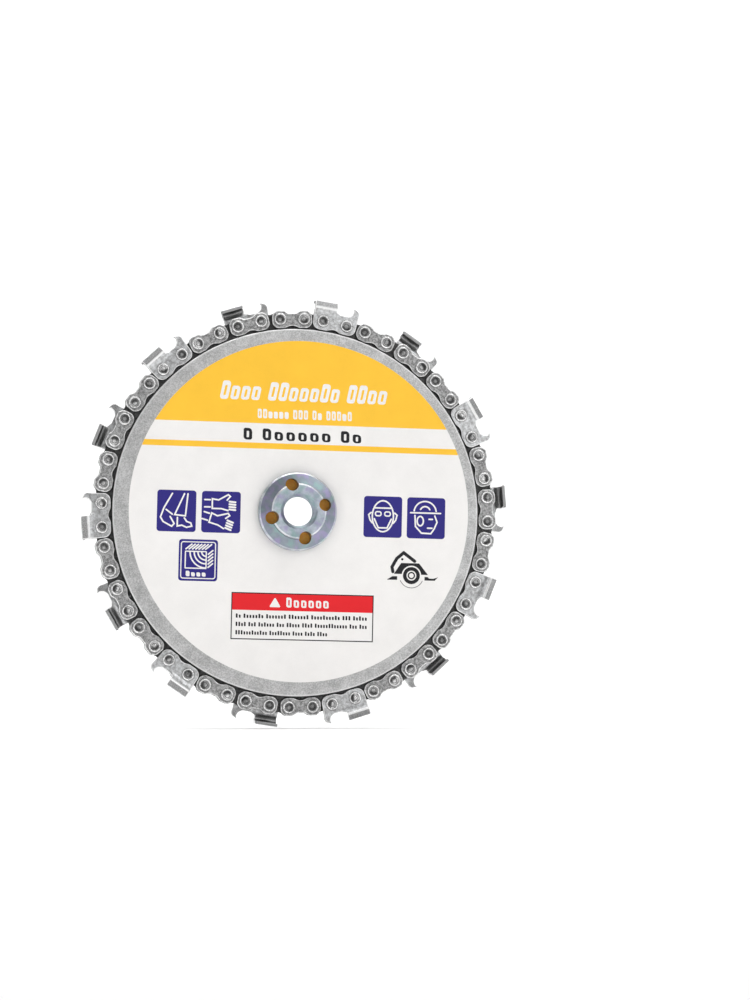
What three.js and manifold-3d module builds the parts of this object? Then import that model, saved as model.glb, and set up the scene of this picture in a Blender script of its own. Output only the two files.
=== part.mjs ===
// A chain disc for carving wood with an angle grinder: a low-kickback 1/4 inch saw chain wrapped round
// a grooved steel disc, with a paper label and the pin-spanner nut that clamps it to the grinder's spindle.
// Units are millimetres. The disc stands as it does on a spindle, with its axis level along Y and its label
// facing -Y, top up. The origin is the middle of the bore in the plane of the back plate's outer face, where
// the grinder's flange meets it. Seen from the label side the disc turns clockwise.
// Everything is first made lying down: axis along Z, label facing +Z, and z = 0 half way through the chain.
import * as THREE from "three";
import { mergeVertices } from "three/addons/utils/BufferGeometryUtils.js";
import Module from "manifold-3d";

const wasm = await Module();
wasm.setup();

// Chain. Two rivet spacings in turn make up twice the pitch.
const CHAIN_PITCH = 6.35;
const STRAP_SPACING = 7.0; // between the rivets of a strap or a cutter
const DRIVE_SPACING = 2 * CHAIN_PITCH - STRAP_SPACING; // between the rivets of a drive link
const OUTER_LINKS = 28; // right cutter, plain straps, left cutter, plain straps, and so on round
const FIRST_CUTTER_DEG = 11.5; // first right-hand cutter, clockwise from +Y seen from the label
const DRIVE_HALF = 0.65; // half the thickness of a drive link
const STRAP_NEAR = 0.7; // faces of a strap, from the middle plane of the chain
const STRAP_FAR = 1.75;
const HEAD_FAR = 2.2; // outer face of a rivet head
const PLAY = 0.05; // clearance between pieces that turn on each other
const RIVET_RADIUS = 1.15;
const RIVET_HEAD_RADIUS = 1.9;
const RIVET_HOLE_RADIUS = 1.5;
const RIVET_SIDES = 6; // of a rivet's shank and of its hole
const HEAD_SIDES = 8;

// Cutters.
const CUTTER_RADIUS = 62.5; // cutting edge from the axis: 125 mm over the cutters
const BLOCK_LENGTH = 7.1; // from the heel to the cutting edge, along the top plate
const TOP_PLATE = 0.9; // thickness of the top plate
const TOP_REACH = 1.0; // how far the top plate reaches past the chain's middle plane
const RIDGE_OUT = 2.9; // widest point of a cutter, from the middle plane
const HEEL_DROP = 0.35; // how much lower and narrower the heel is than the cutting edge
const HEEL_NARROW = 0.25;
const HEEL_FLARE = 0.013; // share by which the block is shorter, for each mm below its top

// Disc: two plates with a thinner core between them, whose rim is the floor of the chain's groove.
const RIM_RADIUS = 53.5;
const GROOVE_FLOOR_RADIUS = 50.6;
const BORE_RADIUS = 22.23 / 2;
const CORE_HALF = 0.75;
const PLATE_THICKNESS = 1.8;
const FACE = CORE_HALF + PLATE_THICKNESS; // outer face of a plate, from the middle plane
const RIM_CHAMFER = 0.2;
const DISC_SIDES = 48;
const SCREWS = 6;
const SCREW_CIRCLE_RADIUS = 38;
const SCREW_RADIUS = 1.95;
const SCREW_HOLE_RADIUS = 2.15;
const SCREW_HEAD_RADIUS = 3.75;
const SCREW_HEAD_HEIGHT = 1.8;
const SCREW_SIDES = 8;
const SOCKET_RADIUS = 1.4; // hexagon socket, across its corners

// Label.
const LABEL_RADIUS = 49.7;
const LABEL_HOLE_RADIUS = 11.3;
const LABEL_THICKNESS = 0.15;
const LABEL_OFFSET = new THREE.Vector2(0.9, 0.3); // of the film, stuck on a little off centre

// Nut and washer.
const NUT_RADIUS = 11.4;
const NUT_BOSS_RADIUS = 8.1;
const NUT_HEIGHT = 5.1;
const THREAD_RADIUS = 4.25; // crests of the M10 thread
const PIN_CIRCLE_RADIUS = 7.95;
const PIN_HOLE_RADIUS = 1.85;
const PIN_HOLES = 4;
const FIRST_PIN_HOLE_DEG = -14;
const NUT_SIDES = 32;
const PIN_HOLE_SIDES = 10;
const WASHER_RADIUS = 10.9;
const WASHER_HOLE_RADIUS = 5.4;
const WASHER_THICKNESS = 1.0;

// The rivets lie on one circle, on which the two spacings are chords that fill a whole turn.
const STEP = (2 * Math.PI) / OUTER_LINKS;
const HALF_STEP = STEP / 2;
const RIVET_CIRCLE_RADIUS =
  Math.hypot(
    STRAP_SPACING / 2 + (DRIVE_SPACING / 2) * Math.cos(HALF_STEP),
    (DRIVE_SPACING / 2) * Math.sin(HALF_STEP),
  ) / Math.sin(HALF_STEP);
const STRAP_LEVEL = Math.sqrt(RIVET_CIRCLE_RADIUS ** 2 - (STRAP_SPACING / 2) ** 2);
const DRIVE_LEVEL = Math.sqrt(RIVET_CIRCLE_RADIUS ** 2 - (DRIVE_SPACING / 2) ** 2);
const NUT_SEAT = FACE + LABEL_THICKNESS + PLAY;

const materials = {
  cutter: new THREE.MeshStandardMaterial({ color: 0xd2d3d4, roughness: 0.22, metalness: 1 }),
  link: new THREE.MeshStandardMaterial({ color: 0x8b8a86, roughness: 0.45, metalness: 1 }),
  plate: new THREE.MeshStandardMaterial({ color: 0xb9b9bb, roughness: 0.5, metalness: 1 }),
  label: new THREE.MeshStandardMaterial({ color: 0xf0efee, roughness: 0.55, metalness: 0 }),
  nut: new THREE.MeshStandardMaterial({ color: 0xa9b0b8, roughness: 0.3, metalness: 1 }),
  washer: new THREE.MeshStandardMaterial({ color: 0xc8762a, roughness: 0.8, metalness: 0 }),
  screw: new THREE.MeshStandardMaterial({ color: 0x3a3a3c, roughness: 0.4, metalness: 1 }),
};

function solid(geometry) {
  const bare = geometry.clone();
  bare.deleteAttribute("normal");
  bare.deleteAttribute("uv");
  const merged = mergeVertices(bare, 1e-4);
  const mesh = new wasm.Mesh({
    numProp: 3,
    vertProperties: new Float32Array(merged.attributes.position.array),
    triVerts: new Uint32Array(merged.index.array),
  });
  return new wasm.Manifold(mesh);
}

function geometryOf(body) {
  const { vertProperties, triVerts } = body.getMesh();
  const geometry = new THREE.BufferGeometry();
  geometry.setAttribute("position", new THREE.BufferAttribute(vertProperties, 3));
  geometry.setIndex(new THREE.BufferAttribute(triVerts, 1));
  return geometry;
}

// A flat piece with the given outline, between two heights.
function sheet(points, low, high) {
  const shape = new THREE.Shape(points.map(([x, y]) => new THREE.Vector2(x, y)));
  const geometry = new THREE.ExtrudeGeometry(shape, { depth: high - low, bevelEnabled: false });
  return solid(geometry.translate(0, 0, low));
}

// A turned ring about Z. The profile is a closed list of [radius, height], anticlockwise.
function turned(profile, sides) {
  const points = [...profile, profile[0]].map(([r, z]) => new THREE.Vector2(r, z));
  return solid(new THREE.LatheGeometry(points, sides).rotateX(Math.PI / 2));
}

function rod(radius, x, y, low, high, sides) {
  const geometry = new THREE.CylinderGeometry(radius, radius, high - low, sides);
  geometry.rotateX(Math.PI / 2).rotateZ(Math.PI / sides);
  return solid(geometry.translate(x, y, (low + high) / 2));
}

// The other half of an outline that is the same on both sides of x = 0.
const mirrored = (half) => [...half, ...half.map(([x, y]) => [-x, y]).reverse()];

const onCircle = (radius, angle) => [radius * Math.cos(angle), radius * Math.sin(angle)];

// Links are modelled as if they sat at the top of the disc: +X is the way they travel and +Y is outwards.
const RIVET_PAIR = [-STRAP_SPACING / 2, STRAP_SPACING / 2];

function strapOutline() {
  const y = STRAP_LEVEL;
  return mirrored([
    [4.6, y - 2.9],
    [5.9, y - 1.3],
    [5.9, y + 1.2],
    [4.65, y + 2.53],
    [2.3, y + 2.53],
    [1.3, y + 1.7],
  ]);
}

// A rivet's shank, from the middle of one head to the middle of the other.
function shank(x) {
  const half = (STRAP_FAR + HEAD_FAR) / 2;
  return rod(RIVET_RADIUS, x, STRAP_LEVEL, -half, half, RIVET_SIDES);
}

function rivetHead(x, low, high) {
  return rod(RIVET_HEAD_RADIUS, x, STRAP_LEVEL, low, high, HEAD_SIDES);
}

// A drive link's tang runs down into the groove between the two plates.
function driveLink() {
  const y = DRIVE_LEVEL;
  const outline = mirrored([
    [0.8, y - 5.3],
    [2.2, y - 3.1],
    [5.95, y - 3.05],
    [6.18, y - 1.1],
    [5.6, y + 1.1],
    [4.3, y + 2.2],
  ]);
  return sheet(outline, -DRIVE_HALF, DRIVE_HALF);
}

function withRivetHoles(body) {
  return RIVET_PAIR.reduce(
    (left, x) => left.subtract(rod(RIVET_HOLE_RADIUS, x, STRAP_LEVEL, -4, 4, RIVET_SIDES)),
    body,
  );
}

// Two plain straps with their rivets and the drive links that those rivets hold, before and after them.
// The straps are riveted tight here, so they overlap the drive links a little and the shanks are inside.
function linkPair() {
  const near = DRIVE_HALF - PLAY / 2;
  const straps = [sheet(strapOutline(), near, STRAP_FAR), sheet(strapOutline(), -STRAP_FAR, -near)];
  const heads = RIVET_PAIR.flatMap((x) => [
    rivetHead(x, STRAP_FAR, HEAD_FAR),
    rivetHead(x, -HEAD_FAR, -STRAP_FAR),
  ]);
  const turn = new THREE.Matrix4();
  const drives = [-1, 1].map((side) => {
    const x = (side * DRIVE_SPACING) / 2;
    const open = driveLink().subtract(rod(RIVET_HOLE_RADIUS, x, DRIVE_LEVEL, -4, 4, RIVET_SIDES));
    return solid(geometryOf(open).applyMatrix4(turn.makeRotationZ(-side * HALF_STEP)));
  });
  return [...straps, ...drives, ...heads].reduce((all, next) => all.add(next));
}

// The strap across the chain from a right-hand cutter, with the two rivets on which the cutter sits.
function presetStrap() {
  const strap = sheet(strapOutline(), -STRAP_FAR, -STRAP_NEAR);
  return RIVET_PAIR.reduce((all, x) => {
    const back = rivetHead(x, -HEAD_FAR, -STRAP_FAR);
    const front = rivetHead(x, STRAP_FAR + PLAY, HEAD_FAR);
    return all.add(shank(x)).add(back).add(front);
  }, strap);
}

// A right-hand cutter's lower plate, with its gullet and the hooked depth gauge that runs ahead of it.
function cutterPlate() {
  const foot = STRAP_LEVEL - 2.87;
  const sole = mirrored([
    [1.3, foot + 0.45],
    [2.3, foot],
    [4.6, foot],
    [5.6, foot + 0.55],
    [6.35, foot + 1.95],
  ]);
  const trailing = sole.slice(5);
  const leading = sole.slice(0, 5);
  const gauge = [
    [6.5, 59.0],
    [6.7, 60.3],
    [6.35, 61.3],
    [4.85, 62.0],
    [5.1, 61.1],
    [4.65, 60.1],
    [3.6, 59.4],
  ];
  const gullet = [
    [1.0, 59.4],
    [0, 59.9],
    [-6.6, 59.0],
  ];
  return sheet([...leading, ...gauge, ...gullet, ...trailing], STRAP_NEAR, STRAP_FAR);
}

// The cutter's block: a side plate that leans out to a ridge, a chamfered corner and a top plate that
// reaches back over the chain. It drops and narrows towards its heel.
function cutterBlock() {
  const top = CUTTER_RADIUS;
  const under = top - TOP_PLATE;
  const section = [
    [STRAP_NEAR, 57.9],
    [STRAP_FAR, 57.9],
    [STRAP_FAR, 58.9],
    [RIDGE_OUT, 60.7],
    [RIDGE_OUT - 0.95, top - 0.08],
    [-TOP_REACH, top],
    [-TOP_REACH, under],
    [1.28, under],
    [1.73, 60.74],
    [STRAP_NEAR, 59.1],
  ];
  const shape = new THREE.Shape(section.map(([z, y]) => new THREE.Vector2(z, y)));
  const geometry = new THREE.ExtrudeGeometry(shape, { depth: BLOCK_LENGTH, bevelEnabled: false });
  geometry.rotateY(-Math.PI / 2);
  const place = geometry.attributes.position;
  for (let i = 0; i < place.count; i += 1) {
    const x = place.getX(i);
    const y = place.getY(i);
    const z = place.getZ(i);
    const back = -x / BLOCK_LENGTH;
    place.setX(i, x * (1 - HEEL_FLARE * (top - y)));
    if (y > 60) place.setY(i, y - HEEL_DROP * back);
    if (z > STRAP_FAR) place.setZ(i, z - HEEL_NARROW * back);
  }
  return solid(geometry);
}

function rightCutter() {
  return withRivetHoles(cutterPlate().add(cutterBlock()));
}

function screwHoles(body, low) {
  let left = body;
  for (let i = 0; i < SCREWS; i += 1) {
    const [x, y] = onCircle(SCREW_CIRCLE_RADIUS, (i * 2 * Math.PI) / SCREWS);
    left = left.subtract(rod(SCREW_HOLE_RADIUS, x, y, low, 4, SCREW_SIDES));
  }
  return left;
}

function discPlate() {
  return turned(
    [
      [BORE_RADIUS, CORE_HALF],
      [RIM_RADIUS, CORE_HALF],
      [RIM_RADIUS, FACE - RIM_CHAMFER],
      [RIM_RADIUS - RIM_CHAMFER, FACE],
      [BORE_RADIUS, FACE],
    ],
    DISC_SIDES,
  );
}

// The back plate's screw holes are countersunk. It is modelled face up and turned over when placed.
function backPlate() {
  let plate = screwHoles(discPlate(), 0);
  for (let i = 0; i < SCREWS; i += 1) {
    const [x, y] = onCircle(SCREW_CIRCLE_RADIUS, (i * 2 * Math.PI) / SCREWS);
    const sink = new THREE.CylinderGeometry(
      SCREW_HEAD_RADIUS + 2 * PLAY,
      SCREW_HOLE_RADIUS,
      SCREW_HEAD_HEIGHT + PLAY,
      SCREW_SIDES,
    );
    sink.rotateX(Math.PI / 2).rotateZ(Math.PI / SCREW_SIDES);
    plate = plate.subtract(solid(sink.translate(x, y, FACE - SCREW_HEAD_HEIGHT / 2)));
  }
  return plate;
}

function corePlate() {
  const half = CORE_HALF - PLAY / 2;
  const ring = turned(
    [
      [BORE_RADIUS, -half],
      [GROOVE_FLOOR_RADIUS, -half],
      [GROOVE_FLOOR_RADIUS, half],
      [BORE_RADIUS, half],
    ],
    DISC_SIDES,
  );
  return screwHoles(ring, -4);
}

// A countersunk screw with a hexagon socket, modelled head up.
function plateScrew() {
  const headBase = FACE - SCREW_HEAD_HEIGHT;
  const profile = [
    [0, -FACE + 0.25],
    [SCREW_RADIUS, -FACE + 0.25],
    [SCREW_RADIUS, headBase],
    [SCREW_HEAD_RADIUS, FACE],
    [0, FACE],
  ].map(([r, z]) => new THREE.Vector2(r, z));
  const turnedBody = new THREE.LatheGeometry(profile, SCREW_SIDES);
  const body = solid(turnedBody.rotateX(Math.PI / 2).rotateZ(Math.PI / SCREW_SIDES));
  return body.subtract(rod(SOCKET_RADIUS, 0, 0, headBase, FACE + 1, 6));
}

function labelRing() {
  const low = FACE + PLAY / 2;
  const high = FACE + LABEL_THICKNESS;
  const film = rod(LABEL_RADIUS, LABEL_OFFSET.x, LABEL_OFFSET.y, low, high, DISC_SIDES);
  return film.subtract(rod(LABEL_HOLE_RADIUS, 0, 0, low - 1, high + 1, NUT_SIDES));
}

// The nut's flat back clamps the disc. A boss round the thread stands proud of its sloping face, and the
// pin holes for the spanner go right through, half in the boss.
function lockNut() {
  const z = NUT_SEAT;
  const top = z + NUT_HEIGHT;
  const profile = [
    [THREAD_RADIUS + 0.65, z],
    [NUT_RADIUS, z],
    [NUT_RADIUS, z + 2.2],
    [NUT_RADIUS - 0.45, z + 2.65],
    [NUT_BOSS_RADIUS, z + 3.6],
    [NUT_BOSS_RADIUS, top - 0.45],
    [NUT_BOSS_RADIUS - 0.45, top],
    [THREAD_RADIUS + 0.9, top],
    [THREAD_RADIUS, top - 0.9],
    [THREAD_RADIUS, z + 0.65],
  ];
  let nut = turned(profile, NUT_SIDES);
  for (let i = 0; i < PIN_HOLES; i += 1) {
    const clockwise = THREE.MathUtils.degToRad(FIRST_PIN_HOLE_DEG) + (i * 2 * Math.PI) / PIN_HOLES;
    const [x, y] = onCircle(PIN_CIRCLE_RADIUS, Math.PI / 2 - clockwise);
    nut = nut.subtract(rod(PIN_HOLE_RADIUS, x, y, z - 1, top + 1, PIN_HOLE_SIDES));
  }
  return nut;
}

function nutWasher() {
  const high = NUT_SEAT - PLAY;
  const low = high - WASHER_THICKNESS;
  return turned(
    [
      [WASHER_HOLE_RADIUS, low],
      [WASHER_RADIUS, low],
      [WASHER_RADIUS, high],
      [WASHER_HOLE_RADIUS, high],
    ],
    NUT_SIDES,
  );
}

function named(name, body, material) {
  const mesh = new THREE.Mesh(geometryOf(body), material);
  mesh.name = name;
  return mesh;
}

// The chain: a group for each outer link, turned clockwise to its place. Left-hand cutters and their
// straps are the right-hand ones mirrored through the middle plane.
function chain() {
  const ring = new THREE.Group();
  const cutter = rightCutter();
  const preset = presetStrap();
  const pair = linkPair();
  for (let i = 0; i < OUTER_LINKS; i += 1) {
    const place = new THREE.Group();
    const pairNumber = Math.floor(i / 2) + 1;
    if (i % 2) {
      place.add(named(`link_pair_${pairNumber}`, pair, materials.link));
    } else {
      const hand = i % 4 ? "left" : "right";
      const number = Math.floor(i / 4) + 1;
      place.add(named(`${hand}_cutter_${number}`, cutter, materials.cutter));
      place.add(named(`${hand}_preset_strap_${number}`, preset, materials.link));
      if (hand === "left") place.scale.z = -1;
    }
    place.rotation.z = -THREE.MathUtils.degToRad(FIRST_CUTTER_DEG) - i * STEP;
    ring.add(place);
  }
  return ring;
}

function disc() {
  const group = new THREE.Group();
  group.add(named("front_plate", screwHoles(discPlate(), 0), materials.plate));
  group.add(named("core_plate", corePlate(), materials.plate));
  const back = named("back_plate", backPlate(), materials.plate);
  back.rotation.x = Math.PI;
  group.add(back);
  for (let i = 0; i < SCREWS; i += 1) {
    const screw = named(`plate_screw_${i + 1}`, plateScrew(), materials.screw);
    const [x, y] = onCircle(SCREW_CIRCLE_RADIUS, (i * 2 * Math.PI) / SCREWS);
    screw.rotation.x = Math.PI;
    screw.position.set(x, y, 0);
    group.add(screw);
  }
  group.add(named("label", labelRing(), materials.label));
  return group;
}

const carvingDisc = new THREE.Group();
carvingDisc.name = "carving_disc";
carvingDisc.add(disc(), chain());
carvingDisc.add(named("nut_washer", nutWasher(), materials.washer));
carvingDisc.add(named("lock_nut", lockNut(), materials.nut));
carvingDisc.position.y = -FACE;
carvingDisc.rotation.x = Math.PI / 2;

export default carvingDisc;
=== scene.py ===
import math
import random

import bpy
import numpy as np
from mathutils import Matrix, Vector
from mathutils.geometry import delaunay_2d_cdt


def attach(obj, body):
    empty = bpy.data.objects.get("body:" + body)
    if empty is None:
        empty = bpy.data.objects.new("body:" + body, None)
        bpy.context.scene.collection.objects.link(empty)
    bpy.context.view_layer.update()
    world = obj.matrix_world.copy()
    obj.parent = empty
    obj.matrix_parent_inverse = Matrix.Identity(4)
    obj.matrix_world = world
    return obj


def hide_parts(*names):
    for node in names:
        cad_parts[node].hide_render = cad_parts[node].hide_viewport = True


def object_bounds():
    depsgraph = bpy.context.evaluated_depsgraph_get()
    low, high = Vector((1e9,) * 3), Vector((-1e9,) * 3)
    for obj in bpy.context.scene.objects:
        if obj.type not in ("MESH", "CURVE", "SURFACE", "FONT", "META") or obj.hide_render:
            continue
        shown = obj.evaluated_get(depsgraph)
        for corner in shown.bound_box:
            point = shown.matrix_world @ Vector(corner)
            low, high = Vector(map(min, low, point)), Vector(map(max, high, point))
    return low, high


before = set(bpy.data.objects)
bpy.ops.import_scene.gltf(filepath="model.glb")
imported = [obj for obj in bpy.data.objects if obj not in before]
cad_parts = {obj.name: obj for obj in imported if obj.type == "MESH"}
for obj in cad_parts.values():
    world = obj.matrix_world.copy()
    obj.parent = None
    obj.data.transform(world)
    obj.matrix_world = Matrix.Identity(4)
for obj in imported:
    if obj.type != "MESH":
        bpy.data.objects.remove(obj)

cad_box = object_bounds()

# A chain disc for carving wood, standing as it does on a grinder's spindle: axis along Y, label facing -Y.
# Shapes are made in millimetres lying down, label up along z and the chain's middle plane at z = 0, and
# are then stood up in the row frame. Links are made as if at the top of the disc, travelling towards +x.
MM = 0.001
TAU = 2 * math.pi
FACE = 2.55  # height of the front plate's face; the back plate's is as far behind the middle plane
STAND = Matrix.Scale(MM, 4) @ Matrix.Translation((0, -FACE, 0)) @ Matrix.Rotation(math.pi / 2, 4, "X")

# Chain. Spacings are those of the rivets in an outer and an inner link, and levels the rivets' heights.
STRAP_SPACING, DRIVE_SPACING = 7.0, 5.7
OUTER_LINKS = 28
FIRST_CUTTER_DEG = 11.5
STRAP_NEAR, STRAP_FAR = 0.7, 1.75
DRIVE_HALF = 0.65
RIVET_HOLE_RADIUS = 1.45
STEP = TAU / OUTER_LINKS
HALF_STEP = STEP / 2
RIVET_CIRCLE = math.hypot(
    STRAP_SPACING / 2 + DRIVE_SPACING / 2 * math.cos(HALF_STEP), DRIVE_SPACING / 2 * math.sin(HALF_STEP)
) / math.sin(HALF_STEP)
STRAP_LEVEL = math.sqrt(RIVET_CIRCLE**2 - (STRAP_SPACING / 2) ** 2)
DRIVE_LEVEL = math.sqrt(RIVET_CIRCLE**2 - (DRIVE_SPACING / 2) ** 2)

# A rivet head from its dimple outwards and down: radius, height, and how bright wear leaves the edge.
RIVET_HEAD = [
    (0.25, 1.91, 0.0), (0.5, 1.82, 0.0), (0.75, 1.77, 0.0), (0.98, 1.81, 0.0), (1.14, 1.92, 0.0),
    (1.24, 2.03, 0.2), (1.34, 2.13, 0.7), (1.44, 2.18, 1.0), (1.54, 2.2, 1.0), (1.64, 2.17, 0.9),
    (1.74, 2.1, 0.5), (1.83, 1.99, 0.15), (1.88, 1.88, 0.1), (1.86, 1.79, 0.0), (1.78, 1.755, 0.0),
    (1.4, 1.752, 0.0),
]
DIMPLE_HEIGHT = 1.93
CREST_RADIUS, CREST_WIDTH = 1.54, 0.28
HEAD_UNDERSIDE, HEAD_SIDE = 1.76, 1.8  # heads are peened above the first; below the second their sides get painted shade

# Cutters. Each is one sheet. Its pattern is flat, with s running outwards over the sheet's outer face, and
# the stations are the bends: foot, lean-out, ridge, top corner and the top plate's far edge. The paths say
# where the outer and the inner face are at each station (z, y), and how soft each bend is.
CUTTER_RADIUS = 62.5
BLOCK_LENGTH, BLOCK_BASE = 7.1, 58.6
HEEL_DROP, HEEL_NARROW, HEEL_FLARE = 0.35, 0.25, 0.006
GROUND_BEVEL = 0.35  # how far the filed cutting face slopes back through the sheet
STATIONS = [57.9, 58.85, 61.13, 63.1, 66.05]
OUTER_PATH = [(1.75, 57.9), (1.75, 58.75), (2.9, 60.7), (1.95, 62.42), (-1.0, 62.5)]
INNER_PATH = [(0.7, 57.9), (0.7, 59.1), (1.73, 60.74), (1.28, 61.6), (-1.0, 61.6)]
OUTER_SOFT, INNER_SOFT = [0, 0.5, 0.13, 0.16, 0], [0, 0.45, 0.3, 0.35, 0]
BEND_ROWS = [
    0.3, 0.5, *np.arange(0.6, 1.5, 0.09), 1.6, 1.72, *np.arange(1.82, 2.2, 0.04), 2.3, 2.5, 2.7,
    *np.arange(2.8, 3.24, 0.05), 3.35, 3.55, 3.75, 3.9,
]

# Disc.
RIM_RADIUS, GROOVE_FLOOR_RADIUS = 53.5, 50.6
BORE_RADIUS = 22.23 / 2
CORE_HALF, CORE_GAP = 0.75, 0.025
RIM_CHAMFER = 0.2
SCREWS, SCREW_CIRCLE = 6, 38
SCREW_RADIUS, SCREW_HOLE_RADIUS, SINK_RADIUS = 1.95, 2.15, 3.85
SCREW_HEAD_RADIUS, SCREW_HEAD_HEIGHT = 3.75, 1.8
SOCKET_RADIUS, SOCKET_DEPTH = 1.4, 1.15

# Label. Places of what is printed are in label coordinates.
LABEL_RADIUS, LABEL_HOLE_RADIUS = 49.7, 11.3
LABEL_LOW, LABEL_HIGH = 2.575, 2.7
LABEL_OFFSET = (0.9, 0.3)
LABEL_PLACE = Matrix.Translation((*LABEL_OFFSET, 0))
PRINT_TURN = math.radians(-1.2)
PRINT_RADIUS = LABEL_RADIUS - 0.03
INK, INK_UNDER, INK_OVERLAP = 0.016, 0.004, 0.0004
SEGMENT_LOW, STRIPE_LOW, STRIPE_HIGH = 25.2, 17.8, 19.5
TILES = [(-35.9, -1.0), (-23.0, -1.0), (24.4, -1.0), (37.2, -1.0), (-29.3, -15.1)]
TILE_HALF = (5.65, 6.0)
SAW_AT = (33.2, -17.9)
NOTICE = (-19.4, -37.6, 22.2, -24.0)
NOTICE_LINE = 0.3
NOTICE_HEADER_LOW = -29.1
NOTICE_ROWS = [
    (-31.4, 20.6, [2, 7, 7, 7, 10, 3, 5]), (-33.8, 20.6, [4, 3, 6, 3, 5, 4, 12, 3, 3]),
    (-36.2, 9.0, [12, 8, 4, 4, 4]),
]
PEN = 0.45

# Nut and washer.
NUT_SEAT, NUT_TOP = 2.75, 7.85
NUT_RADIUS, NUT_BOSS_RADIUS = 11.4, 8.1
THREAD_CREST, THREAD_ROOT, THREAD_PITCH = 4.25, 4.95, 1.5
THREAD_CHAMFER, THREAD_END = 0.75, 0.35
PIN_CIRCLE, PIN_HOLE_RADIUS, PIN_HOLES, FIRST_PIN_DEG = 7.95, 1.85, 4, -14
WASHER_RADIUS, WASHER_HOLE_RADIUS, WASHER_LOW, WASHER_HIGH = 10.9, 5.4, 1.7, 2.7

# Camera and studio, in metres.
CAMERA_TURN_DEG, CAMERA_RISE_DEG = -9.0, -3.5
LENS, SENSOR = 100.0, 36.0
FRAME_HEIGHT = 0.2905
VIEW_RIGHT, VIEW_UP = 0.0227, 0.0035  # the disc sits left of and a little below the middle of the frame
FLOOR_GAP = 0.0003
FLOOR_WIDTH, FLOOR_FRONT, WALL_BACK, WALL_HEIGHT, WALL_CURVE = 3.5, -3.5, 0.55, 1.5, 0.35
LIGHTS = {  # place, aim, width and height, power
    "key": ((0.42, -0.8, 0.55), (0, 0, 0), (0.6, 0.5), 1.5),
    "front": ((0.3, -1.05, 0.22), (0, 0, 0), (0.3, 0.3), 0.45),
    "right": ((0.95, -0.5, 0.1), (0, 0, 0), (0.35, 0.6), 0.7),
    "left": ((-0.8, -0.6, 0.25), (0, 0, 0), (0.35, 0.6), 0.8),
    "top": ((0.0, -0.35, 0.9), (0, 0, 0), (0.7, 0.4), 1.5),
    "back_wall": ((0.0, 0.1, 1.2), (0, 0.55, 0.1), (1.4, 0.3), 10),
}
SKY_STRENGTH = 0.46

# Meshing.
ARC_TURN = math.radians(16)  # the widest turn between two points of a rounded corner
REACH_SHARE = 0.499  # how much of a side a rounded corner may take
INSET_ROOM, INSET_SHARE = 0.85, 0.35
UPRIGHT_DEPTH = 0.004
CDT_INSIDE, CDT_MERGE = 1, 1e-7
TINY = 1e-9


# ---- numbers and outlines
def smooth(u):
    u = min(max(u, 0.0), 1.0)
    return u * u * (3 - 2 * u)


def ramp(value, start, width):
    """0 up to start, then smoothly to 1 over width, which is negative where it runs downwards."""
    return smooth((value - start) / width)


def polar(radius, t, centre=(0, 0)):
    return (centre[0] + radius * math.cos(t), centre[1] + radius * math.sin(t))


def rounded(corners, most=0.35):
    """A closed outline from corners (x, y, radius), with no step on an arc longer than most."""
    out, n = [], len(corners)
    for i, (x, y, radius) in enumerate(corners):
        p = Vector((x, y))
        a = Vector(corners[i - 1][:2]) - p
        b = Vector(corners[(i + 1) % n][:2]) - p
        if radius <= 0 or a.length < TINY or b.length < TINY:
            out.append((x, y))
            continue
        turn = math.pi - a.angle(b)
        bend = math.tan(turn / 2)
        reach = min(radius * bend, a.length * REACH_SHARE, b.length * REACH_SHARE)
        true = reach / max(bend, TINY)
        start, end = p + a.normalized() * reach, p + b.normalized() * reach
        steps = max(2, math.ceil(turn * true / most), math.ceil(turn / ARC_TURN))
        middle = p + (a.normalized() + b.normalized()).normalized() * math.hypot(reach, true)
        first = math.atan2(start.y - middle.y, start.x - middle.x)
        sweep = math.atan2(end.y - middle.y, end.x - middle.x) - first
        sweep = (sweep + math.pi) % TAU - math.pi
        out += [polar(true, first + sweep * k / steps, middle) for k in range(steps + 1)]
    return out


def rectangle(x0, y0, x1, y1, radius=0.0):
    return rounded([(x0, y0, radius), (x1, y0, radius), (x1, y1, radius), (x0, y1, radius)], 0.3)


def circle(radius, centre=(0, 0), sides=48, hole=False):
    way = -1 if hole else 1
    return [polar(radius, way * k * TAU / sides, centre) for k in range(sides)]


def arc(centre, radius, first, last, steps, flat=1.0):
    """Points on an arc between two angles in degrees, or on an ellipse where flat isn't 1."""
    return [
        (centre[0] + radius * math.cos(t), centre[1] + radius * flat * math.sin(t))
        for t in np.radians(np.linspace(first, last, steps))
    ]


def both_sides(half, middle=()):
    """Corners, those between them if any, and their mirror images about x = 0."""
    return [*half, *middle, *[(-x, y, radius) for x, y, radius in reversed(half)]]


def finer(loop, step):
    """The same outline with points no further apart than step(point) along its straight parts."""
    out = []
    for i, p in enumerate(loop):
        q = loop[(i + 1) % len(loop)]
        parts = max(1, math.ceil(math.dist(p, q) / step(((p[0] + q[0]) / 2, (p[1] + q[1]) / 2))))
        out += [(p[0] + (q[0] - p[0]) * k / parts, p[1] + (q[1] - p[1]) * k / parts) for k in range(parts)]
    return out


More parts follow.
